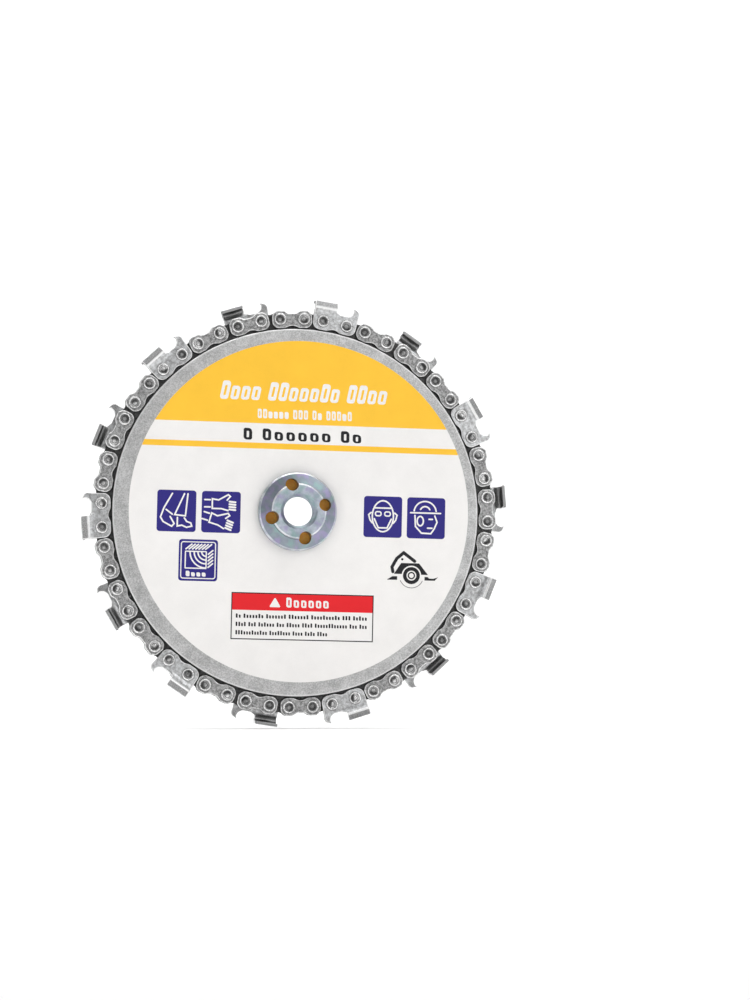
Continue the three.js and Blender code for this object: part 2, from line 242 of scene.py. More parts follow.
def inset(loop, depth):
    """A closed loop moved into the material, which lies on its left. Where the loop turns tightly it moves
    less far, so that it never crosses itself."""
    p = np.array(loop, float)

    def normals(way):
        return np.stack([-way[:, 1], way[:, 0]], 1) / np.linalg.norm(way, axis=1)[:, None]

    n1, n2 = normals(p - np.roll(p, 1, 0)), normals(np.roll(p, -1, 0) - p)
    both = n1 + n2
    inward = both / np.maximum(np.linalg.norm(both, axis=1), TINY)[:, None]
    gap = p[None] - p[:, None]
    ahead = np.maximum((gap * inward[:, None]).sum(2), TINY)
    room = (gap**2).sum(2) / (2 * ahead)  # radius of the circle that touches the loop here and at each point
    np.fill_diagonal(room, np.inf)
    far = np.minimum(depth, INSET_ROOM * room.min(1))
    share = np.maximum(1 + (n1 * n2).sum(1), INSET_SHARE)
    return p + (far / share)[:, None] * both


def inside(points, loops):
    """Which points lie in the area that the loops bound, by counting crossings."""
    points = np.asarray(points, float)
    odd = np.zeros(len(points), bool)
    for loop in loops:
        a = np.asarray(loop, float)
        for (ax, ay), (bx, by) in zip(a, np.roll(a, -1, 0)):
            crosses = (ay > points[:, 1]) != (by > points[:, 1])
            if crosses.any():
                odd ^= crosses & (points[:, 0] < (bx - ax) * (points[:, 1] - ay) / ((by - ay) or 1e-12) + ax)
    return odd


# ---- shapes
class Shape:
    """Points, faces and point attributes, in millimetres."""

    def __init__(self):
        self.points, self.faces, self.marks = [], [], {}

    def add(self, points, faces, **marks):
        base, count = len(self.points), len(points)
        self.points += [tuple(map(float, p)) for p in points]
        self.faces += [tuple(base + i for i in f) for f in faces]
        for name in {**self.marks, **marks}:
            self.marks.setdefault(name, [0.0] * base).extend(map(float, marks.get(name, [0.0] * count)))
        return self

    def join(self, other):
        return self.add(other.points, other.faces, **other.marks)

    def mirrored(self):
        """The same shape on the other side of the chain's middle plane."""
        flipped = [tuple(reversed(f)) for f in self.faces]
        return Shape().add([(x, y, -z) for x, y, z in self.points], flipped, **self.marks)


def quads(low, high):
    """The faces between two rings of point indices."""
    n = len(low)
    return [(low[i], low[(i + 1) % n], high[(i + 1) % n], high[i]) for i in range(n)]


def fan(ring, tip):
    return [(ring[i], ring[(i + 1) % len(ring)], tip) for i in range(len(ring))]


def cap(points, rings, extra=()):
    """Triangles that fill the area inside the first ring of point indices and outside the others, through
    the extra indices."""
    used = [i for ring in rings for i in ring] + list(extra)
    local = {i: k for k, i in enumerate(used)}
    edges = [(local[a], local[b]) for ring in rings for a, b in zip(ring, [*ring[1:], ring[0]])]
    flat = [Vector(points[i][:2]) for i in used]
    found, _, faces, origins, _, _ = delaunay_2d_cdt(flat, edges, [], CDT_INSIDE, CDT_MERGE)
    source = [used[o[0]] if o else None for o in origins]
    middles = [sum((found[i] for i in f), Vector((0, 0))) / len(f) for f in faces]
    in_hole = inside(middles, [[points[i][:2] for i in ring] for ring in rings[1:]])
    out = []
    for f, dropped in zip(faces, in_hole):
        ids = [source[i] for i in f]
        if not dropped and None not in ids:
            a, b, c = (found[i] for i in f[:3])
            out.append(tuple(ids if (b - a).cross(c - a) > 0 else reversed(ids)))
    return out


def slab(loops, profiles, grid=()):
    """A plate between loops, the outer anticlockwise and holes clockwise. Each loop's edge follows its
    profile of (depth into the material, height), from the lower face up to the upper one."""
    points, edge, wall, rings = [], [], [], []
    for loop, profile in zip(loops, profiles):
        mine = []
        for k, (depth, height) in enumerate(profile):
            ring = inset(loop, depth)
            mine.append(list(range(len(points), len(points) + len(ring))))
            points += [(x, y, height) for x, y in ring]
            upright = depth < UPRIGHT_DEPTH
            edge += [0.0 if upright or k in (0, len(profile) - 1) else 1.0] * len(ring)
            # upright walls are marked for painted shade in the materials
            wall += [float(upright)] * len(ring)
        rings.append(mine)
    faces = [face for mine in rings for low, high in zip(mine, mine[1:]) for face in quads(low, high)]
    for end in (0, -1):
        start = len(points)
        points += [(x, y, profiles[0][end][1]) for x, y in grid]
        filled = cap(points, [mine[end] for mine in rings], range(start, len(points)))
        faces += filled if end else [tuple(reversed(f)) for f in filled]
    edge += [0.0] * (2 * len(grid))
    wall += [0.0] * (2 * len(grid))
    used = sorted({i for f in faces for i in f})
    new = {i: k for k, i in enumerate(used)}
    return Shape().add(
        [points[i] for i in used], [tuple(new[i] for i in f) for f in faces],
        edge=[edge[i] for i in used], wall=[wall[i] for i in used],
    )


def softened(low, high, radius, band, top=None):
    """An edge profile with rounded corners and a narrow flat band inside each. The upper corner is rounder
    where its radius top is given."""
    lower = [math.pi / 4 * k for k in range(3)]
    upper = [math.pi / 6 * k for k in range(4)] if top else lower
    top = top or radius
    return [
        (radius + band, low),
        *[(radius - radius * math.sin(t), low + radius - radius * math.cos(t)) for t in lower],
        *[(top - top * math.cos(t), high - top + top * math.sin(t)) for t in upper],
        (top + band, high),
    ]


def turned(columns):
    """A closed ring about z. Each column is a closed, anticlockwise profile of (radius, height)."""
    sides, n = len(columns), len(columns[0])
    points, faces = [], []
    for k, column in enumerate(columns):
        points += [(*polar(r, TAU * (k / sides)), z) for r, z in column]
        a, b = k * n, (k + 1) % sides * n
        faces += [(a + i, b + i, b + (i + 1) % n, a + (i + 1) % n) for i in range(n)]
    return Shape().add(points, faces)


def mesh_from(name, points, faces):
    mesh = bpy.data.meshes.new(name)
    mesh.from_pydata(points, [], faces)
    mesh.polygons.foreach_set("use_smooth", [True] * len(faces))
    return mesh


def in_scene(name, data):
    obj = bpy.data.objects.new(name, data)
    bpy.context.scene.collection.objects.link(obj)
    return obj


def piece(name, shape, material, body, nodes=(), place=None, grain=(0, 0, 0), smooth_deg=38):
    """Makes a shape into a piece. The attribute at holds each point's place in the shape, and grain holds
    the same moved by a different amount for each piece, so that no two wear alike."""
    mesh = mesh_from(name, shape.points, shape.faces)
    at = np.array(shape.points, np.float32)
    for key, values in (("at", at), ("grain", at + np.array(grain, np.float32))):
        mesh.attributes.new(key, "FLOAT_VECTOR", "POINT").data.foreach_set("vector", values.ravel())
    for mark, values in shape.marks.items():
        mesh.attributes.new(mark, "FLOAT", "POINT").data.foreach_set("value", np.array(values, np.float32))
    mesh.transform(STAND @ (place or Matrix.Identity(4)))
    mesh.set_sharp_from_angle(angle=math.radians(smooth_deg))
    mesh.materials.append(material)
    obj = in_scene(name, mesh)
    obj.modifiers.new("even", "WEIGHTED_NORMAL").keep_sharp = True
    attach(obj, body)
    if nodes:
        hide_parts(*nodes)


# ---- materials
class Nodes:
    """A material whose nodes are added one call at a time."""

    def __init__(self, name, **fixed):
        self.material = bpy.data.materials.new(name)
        self.material.use_nodes = True
        self.tree = self.material.node_tree
        self.shader = self.tree.nodes["Principled BSDF"]
        for key, value in fixed.items():
            self.shader.inputs[key.replace("_", " ")].default_value = value

    def add(self, kind, inputs, out=0, **settings):
        node = self.tree.nodes.new("ShaderNode" + kind)
        for key, value in settings.items():
            setattr(node, key, value)
        for key, value in inputs.items():
            self.put(node.inputs[key], value)
        return node.outputs[out]

    def put(self, socket, value):
        if isinstance(value, bpy.types.NodeSocket):
            self.tree.links.new(value, socket)
        else:
            socket.default_value = value

    def mark(self, name, vector=False):
        return self.add("Attribute", {}, "Vector" if vector else "Fac", attribute_name=name)

    def noise(self, vector, scale, detail, rough, stretch=None):
        if stretch is not None:
            vector = self.add("VectorMath", {0: vector, 1: stretch}, operation="MULTIPLY")
        return self.add("TexNoise", {"Vector": vector, "Scale": scale, "Detail": detail, "Roughness": rough})

    def radius(self, at):
        """How far a place is from the disc's axis."""
        flat = self.add("VectorMath", {0: at, 1: (1, 1, 0)}, operation="MULTIPLY")
        return self.add("VectorMath", {0: flat}, "Value", operation="LENGTH")

    def spread(self, value, low, high, to_low=0.0, to_high=1.0):
        return self.add("MapRange", {0: value, 1: low, 2: high, 3: to_low, 4: to_high})

    def walls(self):
        return self.spread(self.mark("wall"), 0.3, 0.9)

    def sum(self, *values):
        total = values[0]
        for value in values[1:]:
            total = self.add("Math", {0: total, 1: value}, operation="ADD")
        return total

    def times(self, a, b):
        return self.add("Math", {0: a, 1: b}, operation="MULTIPLY")

    def mix(self, share, a, b):
        inputs = {0: share, 6: a, 7: b}  # the factor and the two colours
        return self.add("Mix", inputs, 2, data_type="RGBA", clamp_factor=True)

    def bump(self, height, strength, distance):
        """Distance is in millimetres."""
        return self.add("Bump", {"Height": height, "Strength": strength, "Distance": distance * MM})

    def finish(self, colour, roughness, normal=None, metallic=None):
        links = (("Base Color", colour), ("Roughness", roughness), ("Normal", normal), ("Metallic", metallic))
        for key, value in links:
            if value is not None:
                self.put(self.shader.inputs[key], value)
        return self.material


def grey(v):
    return (v, v, v, 1.0)


def rgb(*screen):
    """A colour from its 0-255 screen values."""
    return (*[v / 255 / 12.92 if v <= 10 else ((v / 255 + 0.055) / 1.055) ** 2.4 for v in screen], 1.0)


def steel(name, dark, light, edge_tone, rough, grain_scale=1.3, pits=0.5):
    """Tumbled steel: mottled tone, pits, bright edges from wear and painted highlight, painted shade on walls
    and in dimples.
    """
    m = Nodes(name, Metallic=1.0, IOR=1.15)
    grain = m.mark("grain", vector=True)
    # upright side walls get painted shade: darker, rougher and less metallic
    wall_shade = m.times(m.walls(), 0.8)
    cloud = m.noise(grain, grain_scale, 5.0, 0.65)
    fine = m.noise(grain, grain_scale * 5, 3.0, 0.7)
    tone = m.spread(m.sum(m.times(cloud, 0.5), m.times(fine, 0.5)), 0.42, 0.58)
    colour = m.mix(tone, grey(dark), grey(light))
    specks = m.spread(m.noise(grain, grain_scale * 3.2, 3.0, 0.7), 0.58, 0.68)
    colour = m.mix(m.times(specks, pits), colour, grey(dark * 0.35))
    # edges brighter from wear; on rivets the edge mark also carries painted highlights (glints) in the
    # dimples
    wear_and_highlight = m.times(m.spread(m.mark("edge"), 0.35, 0.95), m.spread(tone, 0.0, 0.8, 0.35, 1.0))
    colour = m.mix(wear_and_highlight, colour, grey(edge_tone))
    colour = m.mix(wall_shade, colour, grey(dark * 0.2))
    # painted shade in the rivet dimples, from the deep mark
    dimple_shade = m.times(m.mark("deep"), m.spread(fine, 0.35, 0.65, 1.0, 0.55))
    colour = m.mix(dimple_shade, colour, grey(dark * 0.25))
    skin = m.spread(fine, 0.3, 0.7, rough - 0.08, rough + 0.1)
    roughness = m.sum(skin, m.times(wear_and_highlight, -0.1), m.times(wall_shade, 0.3))
    height = m.sum(m.times(cloud, 1.6), m.times(fine, 0.6), m.times(specks, -0.8))
    return m.finish(colour, roughness, m.bump(height, 0.55, 0.06), m.spread(wall_shade, 0, 1, 1.0, 0.05))


def chrome(name):
    """Plated cutter: bright, with fine scratches, a rough grey chamfer facet and bare ground faces."""
    m = Nodes(name, Metallic=1.0, IOR=1.15)
    grain = m.mark("grain", vector=True)
    edge, facet, ground = m.mark("edge"), m.mark("facet"), m.mark("ground")
    # side walls other than the ground faces get painted shade
    wall_shade = m.times(m.walls(), m.spread(ground, 0, 1, 0.8, 0))
    cloud = m.noise(grain, 1.0, 4.0, 0.65)
    fine = m.noise(grain, 5.0, 3.0, 0.7)
    scratches = m.noise(grain, 2.2, 3.0, 0.6, stretch=(0.7, 9.0, 9.0))
    colour = m.mix(m.spread(cloud, 0.38, 0.62), grey(0.34), (0.62, 0.63, 0.64, 1.0))
    rough_tone = m.mix(m.spread(fine, 0.4, 0.6), grey(0.16), grey(0.5))
    colour = m.mix(m.times(facet, 0.9), colour, rough_tone)
    # painted shade on the block's inner face, under the top plate
    hollow_shade = m.mix(m.spread(fine, 0.35, 0.65), grey(0.14), grey(0.42))
    colour = m.mix(m.times(m.mark("inner"), 0.85), colour, hollow_shade)
    colour = m.mix(wall_shade, colour, grey(0.06))
    # edges brighter from wear, plus the painted highlight along the ridge
    colour = m.mix(m.times(m.spread(edge, 0.3, 1.0), 0.85), colour, grey(0.9))
    colour = m.mix(ground, colour, grey(0.8))
    roughness = m.sum(
        m.spread(scratches, 0.3, 0.7, 0.22, 0.36), m.times(facet, 0.24),
        m.times(m.spread(fine, 0.4, 0.7), 0.08),
    )
    height = m.sum(
        m.times(scratches, 0.25), m.times(m.times(facet, fine), 1.6),
        m.times(m.times(ground, scratches), 0.5), m.times(cloud, 0.9),
    )
    return m.finish(colour, roughness, m.bump(height, 0.45, 0.035), m.spread(wall_shade, 0, 1, 1.0, 0.1))


def plate_steel(name):
    """Zinc-plated plate: a fine speckle over faint turning rings, a bright chamfer and painted shade on the
    rim and other upright walls.
    """
    m = Nodes(name, Metallic=1.0, IOR=1.15)
    # upright walls of the rim, bore and holes get painted shade
    wall_shade = m.walls()
    at = m.mark("at", vector=True)
    edge = m.mark("edge")
    speck = m.noise(at, 2.6, 4.0, 0.8)
    cloud = m.noise(at, 0.25, 3.0, 0.5)
    rings = m.noise(m.add("CombineXYZ", {"X": m.radius(at), "Y": m.times(cloud, 0.4)}), 5.0, 3.0, 0.6)
    tone = m.sum(m.times(speck, 0.65), m.times(rings, 0.15), m.times(cloud, 0.2))
    colour = m.mix(m.spread(tone, 0.42, 0.58), grey(0.35), grey(0.64))
    colour = m.mix(m.times(wall_shade, 0.9), colour, grey(0.03))
    colour = m.mix(m.times(m.spread(edge, 0.4, 1.0), 0.8), colour, grey(0.85))
    roughness = m.sum(m.spread(tone, 0.35, 0.65, 0.5, 0.36), m.times(wall_shade, 0.3))
    normal = m.bump(m.sum(speck, m.times(rings, 0.4)), 0.4, 0.03)
    return m.finish(colour, roughness, normal, m.spread(wall_shade, 0, 1, 1.0, 0.1))


def vinyl(name, *screen):
    """Printed label film: slightly uneven ink and a soft satin skin."""
    m = Nodes(name, Specular_IOR_Level=0.22, Coat_Weight=0.04, Coat_Roughness=0.3)
    at = m.mark("grain", vector=True)
    cloud = m.noise(at, 0.12, 4.0, 0.6)
    fine = m.noise(at, 3.5, 3.0, 0.6)
    low, high = ([min(1.0, c * share) for c in rgb(*screen)] for share in (0.96, 1.02))
    low[3] = high[3] = 1.0
    shade = m.mix(m.spread(m.sum(m.times(cloud, 0.7), m.times(fine, 0.3)), 0.35, 0.65), low, high)
    roughness = m.spread(fine, 0.3, 0.7, 0.37, 0.49)
    return m.finish(shade, roughness, m.bump(m.sum(fine, m.times(cloud, 3.0)), 0.2, 0.01))


def zinc_nut(name):
    """Blue-bright zinc: turned rings with pale violet and green tints, painted shade on the sloping flange,
    painted highlights on edges.
    """
    m = Nodes(name, Metallic=1.0)
    at = m.mark("at", vector=True)
    rings = m.noise(m.add("CombineXYZ", {"X": m.radius(at)}), 6.0, 4.0, 0.7)
    cloud = m.noise(at, 0.3, 4.0, 0.65)
    hue = m.noise(at, 0.4, 2.0, 0.5)
    colour = m.mix(m.spread(cloud, 0.36, 0.64), (0.33, 0.38, 0.44, 1), (0.55, 0.60, 0.66, 1))
    # painted shade on the sloping flange
    colour = m.mix(m.times(m.mark("slope"), 0.75), colour, (0.2, 0.23, 0.27, 1))
    colour = m.mix(m.spread(hue, 0.52, 0.66, 0.0, 0.6), colour, (0.36, 0.29, 0.52, 1))
    colour = m.mix(m.spread(hue, 0.47, 0.34, 0.0, 0.5), colour, (0.24, 0.42, 0.38, 1))
    # painted highlights on the boss corner and the flange rim
    wear_and_highlight = m.times(m.spread(m.mark("edge"), 0.3, 0.9), m.spread(cloud, 0.4, 0.6, 0.3, 0.85))
    colour = m.mix(wear_and_highlight, colour, (0.82, 0.84, 0.86, 1))
    roughness = m.sum(m.spread(rings, 0.3, 0.7, 0.24, 0.4), m.times(cloud, 0.06))
    return m.finish(colour, roughness, m.bump(rings, 0.4, 0.02))


def fibre(name):
    """Vulcanised fibre: orange, with faint threads."""
    m = Nodes(name, Specular_IOR_Level=0.35)
    at = m.mark("at", vector=True)
    threads = m.noise(at, 2.5, 4.0, 0.7, stretch=(0.4, 3.0, 3.0))
    cloud = m.noise(at, 0.7, 3.0, 0.6)
    tone = m.spread(m.sum(m.times(threads, 0.6), m.times(cloud, 0.4)), 0.35, 0.65)
    colour = m.mix(tone, rgb(252, 150, 44), rgb(255, 196, 92))
    return m.finish(colour, m.spread(threads, 0.3, 0.7, 0.6, 0.8), m.bump(threads, 0.5, 0.03))


CHROME = chrome("cutter chrome")
LINK = steel("tumbled link steel", 0.14, 0.52, 0.9, 0.38, pits=0.7)
RIVET = steel("peened rivet steel", 0.14, 0.42, 0.95, 0.32, 1.4, 0.4)
# drive links are painted darker than the straps, as painted shade in the gaps between them
DRIVE = steel("drive link steel in painted shade", 0.04, 0.12, 0.1, 0.5)
PLATE = plate_steel("speckled plate steel")
WHITE = vinyl("label white", 241, 239, 237)
YELLOW = vinyl("label yellow ink", 253, 198, 58)
NAVY = vinyl("label navy ink", 46, 40, 126)
RED = vinyl("label red ink", 228, 32, 40)
BLACK = vinyl("label black ink", 30, 30, 34)
SCREW = steel("black oxide steel", 0.02, 0.06, 0.3, 0.42, 2.0, 0.2)
ZINC = zinc_nut("blue zinc")
FIBRE = fibre("fibre washer")


# ---- chain
def rivet_holes(spacing, y):
    return [circle(RIVET_HOLE_RADIUS, (s * spacing / 2, y), 24, True) for s in (-1, 1)]


def strap_shape():
    y = STRAP_LEVEL
    corners = both_sides([
        (2.2, y - 2.76, 0.9), (4.6, y - 2.76, 1.6), (5.9, y - 1.45, 1.6), (5.9, y + 1.2, 1.6),
        (4.7, y + 2.53, 1.4), (2.35, y + 2.53, 1.1), (1.15, y + 1.7, 1.4),
    ])
    loops = [rounded([(0, y - 1.75, 3.0), *corners]), *rivet_holes(STRAP_SPACING, y)]
    outer = softened(STRAP_NEAR, STRAP_FAR, 0.1, 0.12, top=0.26)
    return slab(loops, [outer, *[softened(STRAP_NEAR, STRAP_FAR, 0.1, 0.1)] * 2])


def drive_shape():
    y = DRIVE_LEVEL
    corners = both_sides([
        (1.1, y - 5.3, 0.5), (2.3, y - 3.13, 0.6), (5.95, y - 3.6, 0.3), (6.22, y - 1.1, 0.5),
        (5.6, y + 1.1, 1.0), (4.3, y + 2.2, 1.0), (1.9, y + 2.1, 1.2),
    ], [(0, y + 1.6, 2.0)])
    loops = [rounded([(0, y - 4.5, 0.8), *corners]), *rivet_holes(DRIVE_SPACING, y)]
    return slab(loops, [softened(-DRIVE_HALF, DRIVE_HALF, 0.1, 0.08)] * 3)


def rivet_shape(rng, sides=36):
    """A rivet from head to head. Each head is a peened ring round a dimple, never quite even."""

    def both(draw):
        return {way: draw() for way in (1, -1)}  # the front head and the back one

    def angle():
        return rng.uniform(0, 6.28)

    waves = both(lambda: [(rng.randint(2, 7), angle(), rng.uniform(0.2, 1.0)) for _ in range(4)])
    lean = both(lambda: (rng.uniform(-0.16, 0.16), rng.uniform(-0.16, 0.16)))
    sunk = both(lambda: rng.uniform(0.0, 0.1))
    tilt = both(lambda: (rng.uniform(0.05, 0.3), angle()))
    # how strongly, and on which side, each head is worn bright and carries a painted glint
    rubbed_and_glint = both(lambda: (rng.uniform(0.3, 1.0), angle()))
    points, faces, edge, deep, wall = [], [], [], [], []
    for r, z, bright in RIVET_HEAD + [(r, -z, e) for r, z, e in reversed(RIVET_HEAD)]:
        way = 1 if z > 0 else -1
        peened = abs(z) > HEAD_UNDERSIDE
        crest = math.exp(-(((r - CREST_RADIUS) / CREST_WIDTH) ** 2)) * (abs(z) > HEAD_SIDE)
        ripple = (0.09 if r < 1.3 else 0.02) * peened
        dimple = ramp(r, 1.2, -0.5) * peened
        shift = ramp(r, 1.5, -0.4) * peened
        for k in range(sides):
            t = TAU * k / sides
            wave = sum(a * math.sin(n * t + p) for n, p, a in waves[way]) / 4
            slope = tilt[way][0] * math.sin(t + tilt[way][1]) * r
            dip = way * (-0.07 * crest * (0.6 + wave) - dimple * (sunk[way] + slope))
            x, y = polar(r * (1 + ripple * wave), t, [v * shift for v in lean[way]])
            points.append((x, y, z + dip))
            # bare is one side of each head: worn bright, with a painted glint (a painted highlight) in the
            # dimple and less painted shade
            bare = rubbed_and_glint[way][0] * ramp(math.cos(t - rubbed_and_glint[way][1]) * r, -0.65, 0.8)
            edge.append(max(bright, 0.9 * bare * ramp(r, 1.3, -0.2)))
            # wall marks the head's side and the shank for painted shade; deep marks painted shade in the
            # dimple
            wall.append(abs(z) < HEAD_SIDE)
            deep.append(ramp(r, 1.32, -0.2) * (0.35 + 0.65 * ramp(r, 0.2, 0.35)) * (1 - bare))
    rings = [range(start, start + sides) for start in range(0, len(points), sides)]
    for upper, lower in zip(rings, rings[1:]):
        faces += quads(lower, upper)
    for way, ring in ((1, rings[0]), (-1, rings[-1])):
        faces += fan(ring[::way], len(points))
        points.append((*lean[way], way * (DIMPLE_HEIGHT - sunk[way])))
        # the dimple's centre: a painted highlight where worn bright, painted shade elsewhere
        edge.append(0.8 * rubbed_and_glint[way][0])
        wall.append(0)
        deep.append(0.35 * (1 - rubbed_and_glint[way][0] / 2))
    return Shape().add(points, faces, edge=edge, deep=deep, wall=wall)


def bent(corners, softness, t):
    """A point on a polyline whose corners are rounded, at station t: corner k is at t = k."""
    k = min(max(int(round(t)), 0), len(corners) - 1)

    def straight(u):
        i = min(max(int(math.floor(u)), 0), len(corners) - 2)
        return Vector(corners[i]).lerp(Vector(corners[i + 1]), u - i)

    d = softness[k]
    if d and abs(t - k) < d:
        u = (t - k + d) / (2 * d)
        a, b, c = straight(k - d), Vector(corners[k]), straight(k + d)
        return a.lerp(b, u).lerp(b.lerp(c, u), u)
    return straight(t)


def cutter_shape():
    foot = STRAP_LEVEL - 2.75
    ridge, corner, end = STATIONS[2:]
    back = -BLOCK_LENGTH
    outline = rounded([
        (0, foot + 0.95, 3.0), (2.1, foot, 1.0), (6.3, foot, 2.4),
        (6.5, 59.0, 1.6), (6.7, 60.5, 1.2), (6.3, 61.35, 0.8), (4.8, 62.03, 0.1),
        (5.1, 61.2, 0.7), (4.65, 60.1, 0.9), (3.6, 59.38, 1.2), (1.1, 59.38, 0.9), (0.0, 60.0, 0.3),
        (0.0, ridge, 0), (-0.12, corner, 0), (-0.6, end, 0.15),
        (back, end, 0.3), (back + 0.4, BLOCK_BASE, 1.0), (-6.35, foot, 2.4), (-2.1, foot, 1.0),
    ], 0.25)
    outline = finer(outline, lambda p: 0.14 if p[1] > 58.2 else 0.5)
    rows = [float(np.interp(t, range(5), STATIONS)) for t in BEND_ROWS]
    grid = [(x, s) for s in rows for x in np.arange(-6.7, 1.5, 0.33)]
    grid = [p for p, keep in zip(grid, inside(grid, [inset(outline, 0.42)])) if keep]
    edge = [
        (0.24, 0.0), (0.1, 0.0), (0.03, 0.03), (0.0, 0.1), (0.0, 0.45),
        (0.0, 0.78), (0.03, 0.88), (0.11, 0.97), (0.22, 1.0), (0.34, 1.0),
    ]
    flat = slab([outline, *rivet_holes(STRAP_SPACING, STRAP_LEVEL)], [edge] * 3, grid)
    facet, ground, inner, points = [], [], [], []
    bright = list(flat.marks["edge"])
    for i, (x, s, w) in enumerate(flat.points):  # w runs from the sheet's inner face to its outer one
        if s > end - 0.03:
            bright[i] = 0.5
        if w > 0.8 and x < 0.3:  # a painted highlight along the ridge
            bright[i] = max(bright[i], 0.95 * ramp(s, 60.1, 0.5) * ramp(s, 61.45, -0.3))
        t = float(np.interp(s, STATIONS, range(5)))
        z_out, y_out = bent(OUTER_PATH, OUTER_SOFT, t) if s > STATIONS[0] else (STRAP_FAR, s)
        z_in, y_in = bent(INNER_PATH, INNER_SOFT, t) if s > STATIONS[0] else (STRAP_NEAR, s)
        z, y = z_in + (z_out - z_in) * w, y_in + (y_out - y_in) * w
        flatness = ramp(x, 0, 1.3)  # only the block is bent, and the depth gauge stays flat
        z = z * (1 - flatness) + (STRAP_NEAR + (STRAP_FAR - STRAP_NEAR) * w) * flatness
        y = y * (1 - flatness) + s * flatness
        if x <= 0.05:
            share = -x / BLOCK_LENGTH
            y -= HEEL_DROP * share * ramp(y, 59.0, 1.6)
            if z > STRAP_FAR:
                z -= HEEL_NARROW * share * (z - STRAP_FAR) / 1.15
            filed = ramp(s, 59.7, 0.7) * min(max((x + 2.0) / 2.0, 0.0), 1.0)
            x -= GROUND_BEVEL * (1 - w) * filed
            x *= 1 - HEEL_FLARE * max(CUTTER_RADIUS - 0.5 - y, 0.0) * ramp(s, BLOCK_BASE, 1.5)
        points.append((x, y, z))
        facet.append(ramp(s, ridge + 0.12, 0.16) * ramp(s, corner - 0.06, -0.16) * (w > 0.8))
        front = ramp(x, -0.3 - GROUND_BEVEL, 0.2) * (0.05 < w < 0.95 and s > 60.1)
        ground.append(front * (x < 0.3))
        # inner marks the block's inner face for painted shade
        inner.append(ramp(s, BLOCK_BASE, 1.2) * (w < 0.02 and front < 0.5))
    wall = flat.marks["wall"]
    return Shape().add(points, flat.faces, edge=bright, wall=wall, facet=facet, ground=ground, inner=inner)


def at_link(turn, x=0.0, y=0.0):
    """The place of a link turned clockwise round the disc, or of something at a point of that link."""
    return Matrix.Rotation(-turn, 4, "Z") @ Matrix.Translation((x, y, 0))


def build_chain():
    rng = random.Random(7)
    strap, drive, cutter = strap_shape(), drive_shape(), cutter_shape()
    back_strap, back_cutter = strap.mirrored(), cutter.mirrored()
    ends = ((-1, "a"), (1, "b"))

    def part(name, shape, material, node, place):
        grain = [rng.uniform(-60, 60) for _ in range(3)]
        piece(name, shape, material, "chain", [node], place, grain)

    for i in range(OUTER_LINKS):
        turn = math.radians(FIRST_CUTTER_DEG) + i * STEP
        place = at_link(turn)
        if i % 2:
            holder = f"link_pair_{i // 2 + 1}"
            part(f"strap_front_{i}", strap, LINK, holder, place)
            part(f"strap_back_{i}", back_strap, LINK, holder, place)
            for side, word in ends:
                part(f"drive_link_{i}{word}", drive, DRIVE, holder, at_link(turn + side * HALF_STEP))
        else:
            hand, number = "left" if i % 4 else "right", i // 4 + 1
            cutter_name, holder = f"{hand}_cutter_{number}", f"{hand}_preset_strap_{number}"
            shape, other = (back_cutter, strap) if i % 4 else (cutter, back_strap)
            part(cutter_name, shape, CHROME, cutter_name, place)
            part(f"preset_strap_{hand}_{number}", other, LINK, holder, place)
        for side, word in ends:
            spin = Matrix.Rotation(rng.uniform(0, 6.28), 4, "Z")
            at = at_link(turn, side * STRAP_SPACING / 2, STRAP_LEVEL) @ spin
            part(f"rivet_{i}{word}", rivet_shape(rng), RIVET, holder, at)


# ---- disc
def plate_shape(radius, sides, outer_edge, bore_edge, hole_edge):
    """A round plate with the bore and the screw holes."""
    loops = [circle(radius, sides=sides), circle(BORE_RADIUS, sides=96, hole=True)]
    loops += [circle(SCREW_HOLE_RADIUS, at, 36, True) for at in circle(SCREW_CIRCLE, sides=SCREWS)]
    return slab(loops, [outer_edge, bore_edge] + [hole_edge] * SCREWS)


def build_disc():
    near, far, chamfer = CORE_HALF, FACE, RIM_CHAMFER
    rim = [
        (0.3, near), (0.08, near), (0.0, near + 0.08), (0.0, far - chamfer - 0.03),
        (0.03, far - chamfer + 0.02), (chamfer - 0.03, far - 0.02), (chamfer + 0.03, far), (0.75, far),
    ]
    thread_edge = [(0.2, near), (0.0, near + 0.15), (0.0, far - 0.1), (0.12, far)]
    sink = SINK_RADIUS - SCREW_HOLE_RADIUS
    sink_edge = [
        (sink + 0.2, -far), (sink + 0.06, -far), (sink, -far + 0.05), (0.1, -near - 0.1), (0.05, -near),
    ]
    back_rim = [(depth, -height) for depth, height in reversed(rim)]
    core_edge = softened(-near + CORE_GAP, near - CORE_GAP, 0.1, 0.15)
    front = plate_shape(RIM_RADIUS, 224, rim, softened(near, far, 0.2, 0.2), thread_edge)
    back = plate_shape(RIM_RADIUS, 224, back_rim, softened(-far, -near, 0.2, 0.2), sink_edge)
    core = plate_shape(GROOVE_FLOOR_RADIUS, 192, core_edge, core_edge, core_edge)
    plates = (("front", front, (0, 0, 0)), ("back", back, (31, 12, 5)), ("core", core, (5, 40, 9)))
    for word, shape, grain in plates:
        node = f"{word}_plate"
        piece(f"{node}_steel", shape, PLATE, "disc", [node], grain=grain, smooth_deg=30)


